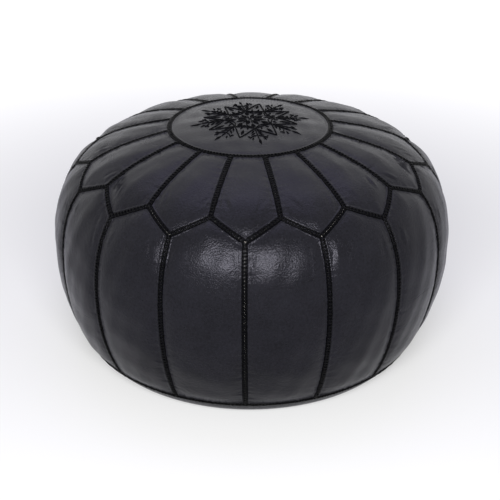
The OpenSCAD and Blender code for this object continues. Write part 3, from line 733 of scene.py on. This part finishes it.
# ---------------------------------------------------------------- zip
# A long zip closes the base so that the pouf can be filled and emptied. Its tapes are black twill,
# its teeth and stops moulded, and its slider and pull cast metal, painted black and worn.

tape, add, join, shader = new_material("zip_twill", 0.85, 0.20)
place = add("ShaderNodeTexCoord")
twill = add("ShaderNodeTexWave", wave_type="BANDS", bands_direction="DIAGONAL", Scale=190.0, Distortion=0.6)
bump = add("ShaderNodeBump", Strength=0.6, Distance=0.0002)
tone = add("ShaderNodeMix", data_type="RGBA")
tone.inputs["A"].default_value = (0.010, 0.010, 0.012, 1)
tone.inputs["B"].default_value = (0.024, 0.024, 0.027, 1)
join(place.outputs["Object"], twill.inputs["Vector"])
join(twill.outputs["Fac"], bump.inputs["Height"])
join(twill.outputs["Fac"], tone.inputs["Factor"])
join(tone.outputs["Result"], shader.inputs["Base Color"])
join(bump.outputs["Normal"], shader.inputs["Normal"])


def painted_metal(name, metallic, colour, roughness):
    """Cast metal painted black: fine orange peel, and lighter where the paint is rubbed."""
    material, add, join, shader = new_material(name, roughness, 0.5)
    place = add("ShaderNodeTexCoord")
    rubbed = add("ShaderNodeTexNoise", Scale=260.0, Detail=5.0, Roughness=0.65)
    edge = add("ShaderNodeMapRange")
    edge.inputs["From Min"].default_value = 0.52
    edge.inputs["From Max"].default_value = 0.72
    tone = add("ShaderNodeMix", data_type="RGBA")
    tone.inputs["A"].default_value = (*colour, 1)
    tone.inputs["B"].default_value = (*(2.6 * np.array(colour)), 1)
    peel = add("ShaderNodeTexNoise", Scale=1500.0, Detail=2.0)
    bump = add("ShaderNodeBump", Strength=0.2, Distance=0.0001)
    shader.inputs["Metallic"].default_value = metallic
    join(place.outputs["Object"], rubbed.inputs["Vector"])
    join(place.outputs["Object"], peel.inputs["Vector"])
    join(rubbed.outputs["Fac"], edge.inputs["Value"])
    join(edge.outputs["Result"], tone.inputs["Factor"])
    join(tone.outputs["Result"], shader.inputs["Base Color"])
    join(peel.outputs["Fac"], bump.inputs["Height"])
    join(bump.outputs["Normal"], shader.inputs["Normal"])
    return material


moulded = painted_metal("zip_teeth_black", 0.0, (0.016, 0.016, 0.018), 0.38)
slider_paint = painted_metal("zip_slider_black", 0.6, (0.045, 0.045, 0.048), 0.34)
sewn = thread("zip_sewing_thread", (0.006, 0.006, 0.007), 0.55, 0.30)
for node, finish in (("zip_tape_front", tape), ("zip_tape_back", tape), ("zip_teeth_front", moulded),
                     ("zip_teeth_back", moulded), ("zip_stops", moulded), ("zip_slider", slider_paint),
                     ("zip_pull_tab", slider_paint), ("zip_stitching", sewn)):
    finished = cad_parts[node].data.materials
    finished.clear()
    finished.append(finish)


# ---------------------------------------------------------------- inner bag
# The filling is held in a plain cotton bag a little smaller than the cover: a round top, a side and
# a round base, sewn together. Only an open zip would show it.

BAG_LIFT = -0.0056                             # under the deepest valley and the leather
BAG_THICKNESS = 0.0008
BAG_SEAM_WALK = TIP_WALK + 0.008

cotton, add, join, shader = new_material("bag_cotton", 0.9, 0.15)
place = add("ShaderNodeTexCoord")
weave = add("ShaderNodeTexChecker", Scale=1400.0)
slubs = add("ShaderNodeTexNoise", Scale=90.0, Detail=5.0)
tone = add("ShaderNodeMix", data_type="RGBA")
tone.inputs["A"].default_value = (0.62, 0.58, 0.50, 1)
tone.inputs["B"].default_value = (0.84, 0.81, 0.74, 1)
bump = add("ShaderNodeBump", Strength=0.4, Distance=0.0002)
join(place.outputs["Object"], weave.inputs["Vector"])
join(place.outputs["Object"], slubs.inputs["Vector"])
join(slubs.outputs["Fac"], tone.inputs["Factor"])
join(tone.outputs["Result"], shader.inputs["Base Color"])
join(weave.outputs["Fac"], bump.inputs["Height"])
join(bump.outputs["Normal"], shader.inputs["Normal"])

turns = np.linspace(0, 2 * np.pi, 160, endpoint=False)[None, :]


def inside_top(walk, turns, lift):
    """The bag's top as rings: the dome inside the medallion, then the form, walked out from the axis."""
    dome = np.linspace(0.004, MEDALLION_RADIUS - 0.004, 16)[:, None]
    x, y = dome * np.cos(turns), dome * np.sin(turns)
    high = TOP - MEDALLION_RISE * (dome / MEDALLION_RADIUS) ** 2 + lift + 0 * turns
    return np.concatenate([np.stack([x, y, high], axis=-1), on_form(walk[:, None], turns, lift)])


def middle_point(height):
    """One point on the axis."""
    return np.array([[0.0, 0.0, height]])


walk = np.linspace(0.004, BAG_SEAM_WALK - 0.0004, 30)
points, quads, fans = round_skin(
    inside_top(walk, turns, BAG_LIFT), inside_top(walk, turns, BAG_LIFT - BAG_THICKNESS),
    middle_point(TOP + BAG_LIFT), middle_point(TOP + BAG_LIFT - BAG_THICKNESS))
bag_top = make_piece("inner_bag_top_cloth", points, quads, cotton, "bag_cloth", triangles=fans)
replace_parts(bag_top, "inner_bag_top")

walk = np.linspace(BAG_SEAM_WALK + 0.0004, COVER_LENGTH - 0.003, 50)[:, None]
closed_turns = np.linspace(0, 2 * np.pi, 161)[None, :]
outer, inner = (on_form(walk, closed_turns, BAG_LIFT - deeper) for deeper in (0, BAG_THICKNESS))
rows, columns = outer.shape[:2]
number = np.arange(rows * (columns - 1)).reshape(rows, columns - 1)
after = np.roll(number, -1, axis=1)
face = np.stack([number[:-1], number[1:], after[1:], after[:-1]], axis=-1).reshape(-1, 4)
under = number.size
rims = np.concatenate([np.stack([number[0], after[0], after[0] + under, number[0] + under], axis=-1),
                       np.stack([number[-1], number[-1] + under, after[-1] + under, after[-1]], axis=-1)])
points = np.concatenate([outer[:, :-1].reshape(-1, 3), inner[:, :-1].reshape(-1, 3)])
bag_side = make_piece("inner_bag_side_cloth", points, np.concatenate([face, face[:, ::-1] + under, rims]),
                      cotton, "bag_cloth")
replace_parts(bag_side, "inner_bag_side")

bag_base_radius = BASE_SEAM_RADIUS - 0.009
rings = np.linspace(bag_base_radius, 0.004, 60)[:, None]
x, y = rings * np.cos(turns), rings * np.sin(turns)
over_zip = 0.0072 * (1 - eased((np.abs(y) - 0.017) / 0.026)) * (1 - eased((np.abs(x) - 0.186) / 0.018))
low = base_height(x, y) * 0.98 + 0.0022 + over_zip * 0.72
bottom, top = np.stack([x, y, low], axis=-1), np.stack([x, y, low + BAG_THICKNESS], axis=-1)
points, quads, fans = round_skin(bottom[::-1], top[::-1], middle_point(low[-1].mean()),
                                 middle_point(low[-1].mean() + BAG_THICKNESS))
bag_base = make_piece("inner_bag_base_cloth", points, quads[:, ::-1], cotton, "bag_cloth",
                      triangles=fans[:, ::-1])
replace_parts(bag_base, "inner_bag_base")


# ---------------------------------------------------------------- filling
# Cotton and fibre waste, pushed in by the handful until the bag is hard. It has taken the bag's form.

FILL_LIFT = BAG_LIFT - 0.0014

waste, add, join, shader = new_material("fibre_filling", 0.95, 0.10)
place = add("ShaderNodeTexCoord")
tufts = add("ShaderNodeTexNoise", Scale=70.0, Detail=8.0, Roughness=0.7)
tone = add("ShaderNodeMix", data_type="RGBA")
tone.inputs["A"].default_value = (0.60, 0.58, 0.53, 1)
tone.inputs["B"].default_value = (0.90, 0.89, 0.86, 1)
bump = add("ShaderNodeBump", Strength=0.8, Distance=0.002)
join(place.outputs["Object"], tufts.inputs["Vector"])
join(tufts.outputs["Fac"], tone.inputs["Factor"])
join(tone.outputs["Result"], shader.inputs["Base Color"])
join(tufts.outputs["Fac"], bump.inputs["Height"])
join(bump.outputs["Normal"], shader.inputs["Normal"])

walk = np.linspace(0.004, COVER_LENGTH - 0.006, 70)
upper = inside_top(walk, turns, FILL_LIFT)
rings = np.linspace(BASE_SEAM_RADIUS - 0.012, 0.004, 40)[:, None]
x, y = rings * np.cos(turns), rings * np.sin(turns)
over_zip = 0.0072 * (1 - eased((np.abs(y) - 0.018) / 0.028)) * (1 - eased((np.abs(x) - 0.187) / 0.020))
lower = np.stack([x, y, base_height(x, y) * 0.98 + 0.0040 + over_zip * 0.72], axis=-1)
grid = np.concatenate([upper, lower])
rows, columns = grid.shape[:2]
number = np.arange(rows * columns).reshape(rows, columns)
after = np.roll(number, -1, axis=1)
face = np.stack([number[:-1], number[1:], after[1:], after[:-1]], axis=-1).reshape(-1, 4)
top_fan = np.stack([np.full(columns, number.size), number[0], after[0]], axis=-1)
low_fan = np.stack([np.full(columns, number.size + 1), after[-1], number[-1]], axis=-1)
points = np.concatenate([grid.reshape(-1, 3), middle_point(TOP + FILL_LIFT),
                         middle_point(lower[-1, :, 2].mean())])
stuffing = make_piece("filling_fibre", points, face, waste, "filling",
                      triangles=np.concatenate([top_fan, low_fan]))
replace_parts(stuffing, "filling")


# ---------------------------------------------------------------- studio
# A white floor that runs on into a white background, and is clear from underneath, so that the base
# can be looked at. One large soft lamp in front, a weak bluish one overhead, and a camera above.

CAMERA_DISTANCE = 1.672
CAMERA_ELEVATION = np.radians(25.85)
CAMERA_AZIMUTH = FRONT + np.radians(1.41)
AIM_HEIGHT = 0.163

pale, add, join, shader = new_material("white_floor", 0.9, 0.0)
shader.inputs["Base Color"].default_value = (0.64, 0.64, 0.64, 1)
rays = add("ShaderNodeLightPath")
seen = add("ShaderNodeMath", operation="MAXIMUM")
glow = add("ShaderNodeMath", operation="MULTIPLY")
place = add("ShaderNodeTexCoord")
from_middle = add("ShaderNodeVectorMath", operation="LENGTH")
fading = add("ShaderNodeMapRange", interpolation_type="SMOOTHSTEP")
fading.inputs["From Min"].default_value = 0.45
fading.inputs["From Max"].default_value = 1.8
fading.inputs["To Min"].default_value = 0.36
fading.inputs["To Max"].default_value = 1.0
join(place.outputs["Object"], from_middle.inputs[0])
join(from_middle.outputs["Value"], fading.inputs["Value"])
join(fading.outputs["Result"], glow.inputs[1])
join(rays.outputs["Is Camera Ray"], seen.inputs[0])
mirrored = add("ShaderNodeMath", operation="MAXIMUM")
halved = add("ShaderNodeMath", operation="MULTIPLY")
halved.inputs[1].default_value = 0.4
join(rays.outputs["Is Glossy Ray"], mirrored.inputs[0])
join(rays.outputs["Is Transmission Ray"], mirrored.inputs[1])
join(mirrored.outputs[0], halved.inputs[0])
join(halved.outputs[0], seen.inputs[1])
join(seen.outputs[0], glow.inputs[0])
shader.inputs["Emission Color"].default_value = (1, 1, 1, 1)
join(glow.outputs[0], shader.inputs["Emission Strength"])
from_under = add("ShaderNodeNewGeometry")
clear = add("ShaderNodeBsdfTransparent")
either = add("ShaderNodeMixShader")
shown = next(node for node in pale.node_tree.nodes if node.type == "OUTPUT_MATERIAL")
join(from_under.outputs["Backfacing"], either.inputs["Fac"])
join(shader.outputs["BSDF"], either.inputs[1])
join(clear.outputs["BSDF"], either.inputs[2])
join(either.outputs["Shader"], shown.inputs["Surface"])
floor_mesh = bpy.data.meshes.new("floor")
floor_mesh.from_pydata([(-6, -6, 0), (6, -6, 0), (6, 6, 0), (-6, 6, 0)], [], [(0, 1, 2, 3)])
floor_mesh.materials.append(pale)
floor = bpy.data.objects.new("floor", floor_mesh)
bpy.context.scene.collection.objects.link(floor)

world = bpy.data.worlds.new("white_room")
world.use_nodes = True
bpy.context.scene.world = world
sky = world.node_tree
rays = sky.nodes.new("ShaderNodeLightPath")
direct = sky.nodes.new("ShaderNodeMath")
direct.operation = "MAXIMUM"
seen = sky.nodes.new("ShaderNodeMath")
seen.operation = "MAXIMUM"
level = sky.nodes.new("ShaderNodeMapRange")
level.inputs["To Min"].default_value = 0.26
level.inputs["To Max"].default_value = 1.0
sky.links.new(rays.outputs["Is Camera Ray"], direct.inputs[0])
sky.links.new(rays.outputs["Is Glossy Ray"], direct.inputs[1])
sky.links.new(direct.outputs[0], seen.inputs[0])
sky.links.new(rays.outputs["Is Transmission Ray"], seen.inputs[1])
sky.links.new(seen.outputs[0], level.inputs["Value"])
sky.links.new(level.outputs["Result"], sky.nodes["Background"].inputs["Strength"])
sky.nodes["Background"].inputs["Color"].default_value = (1, 1, 1, 1)


def around(azimuth, elevation, distance, height):
    """A point at a distance from the axis point at that height, and the turn that looks back at it."""
    level = np.cos(elevation)
    offset = np.array([level * np.cos(azimuth), level * np.sin(azimuth), np.sin(elevation)])
    return distance * offset + [0, 0, height], (np.pi / 2 - elevation, 0, azimuth + np.pi / 2)


def soft_lamp(name, azimuth, elevation, distance, size, power, colour=(1, 1, 1)):
    """A square lamp that faces the middle of the pouf."""
    lamp = bpy.data.lights.new(name, "AREA")
    lamp.shape = "RECTANGLE"
    lamp.size, lamp.size_y = size
    lamp.energy = power
    lamp.color = colour
    holder = bpy.data.objects.new(name, lamp)
    holder.location, holder.rotation_euler = around(azimuth, elevation, distance, AIM_HEIGHT)
    holder.visible_camera = False
    bpy.context.scene.collection.objects.link(holder)


soft_lamp("front_lamp", FRONT + np.radians(0), np.radians(31), 2.2, (1.35, 0.62), 50)
soft_lamp("top_lamp", FRONT, np.radians(105), 2.2, (2.0, 1.4), 10, (0.66, 0.62, 1.0))

view = bpy.data.cameras.new("camera")
view.lens = 85.2
view.sensor_width = 36
view.shift_x, view.shift_y = 0.0, -0.0476
camera = bpy.data.objects.new("camera", view)
camera.location, camera.rotation_euler = around(CAMERA_AZIMUTH, CAMERA_ELEVATION, CAMERA_DISTANCE, AIM_HEIGHT)
bpy.context.scene.collection.objects.link(camera)
bpy.context.scene.camera = camera
bpy.context.scene.view_settings.view_transform = "Standard"
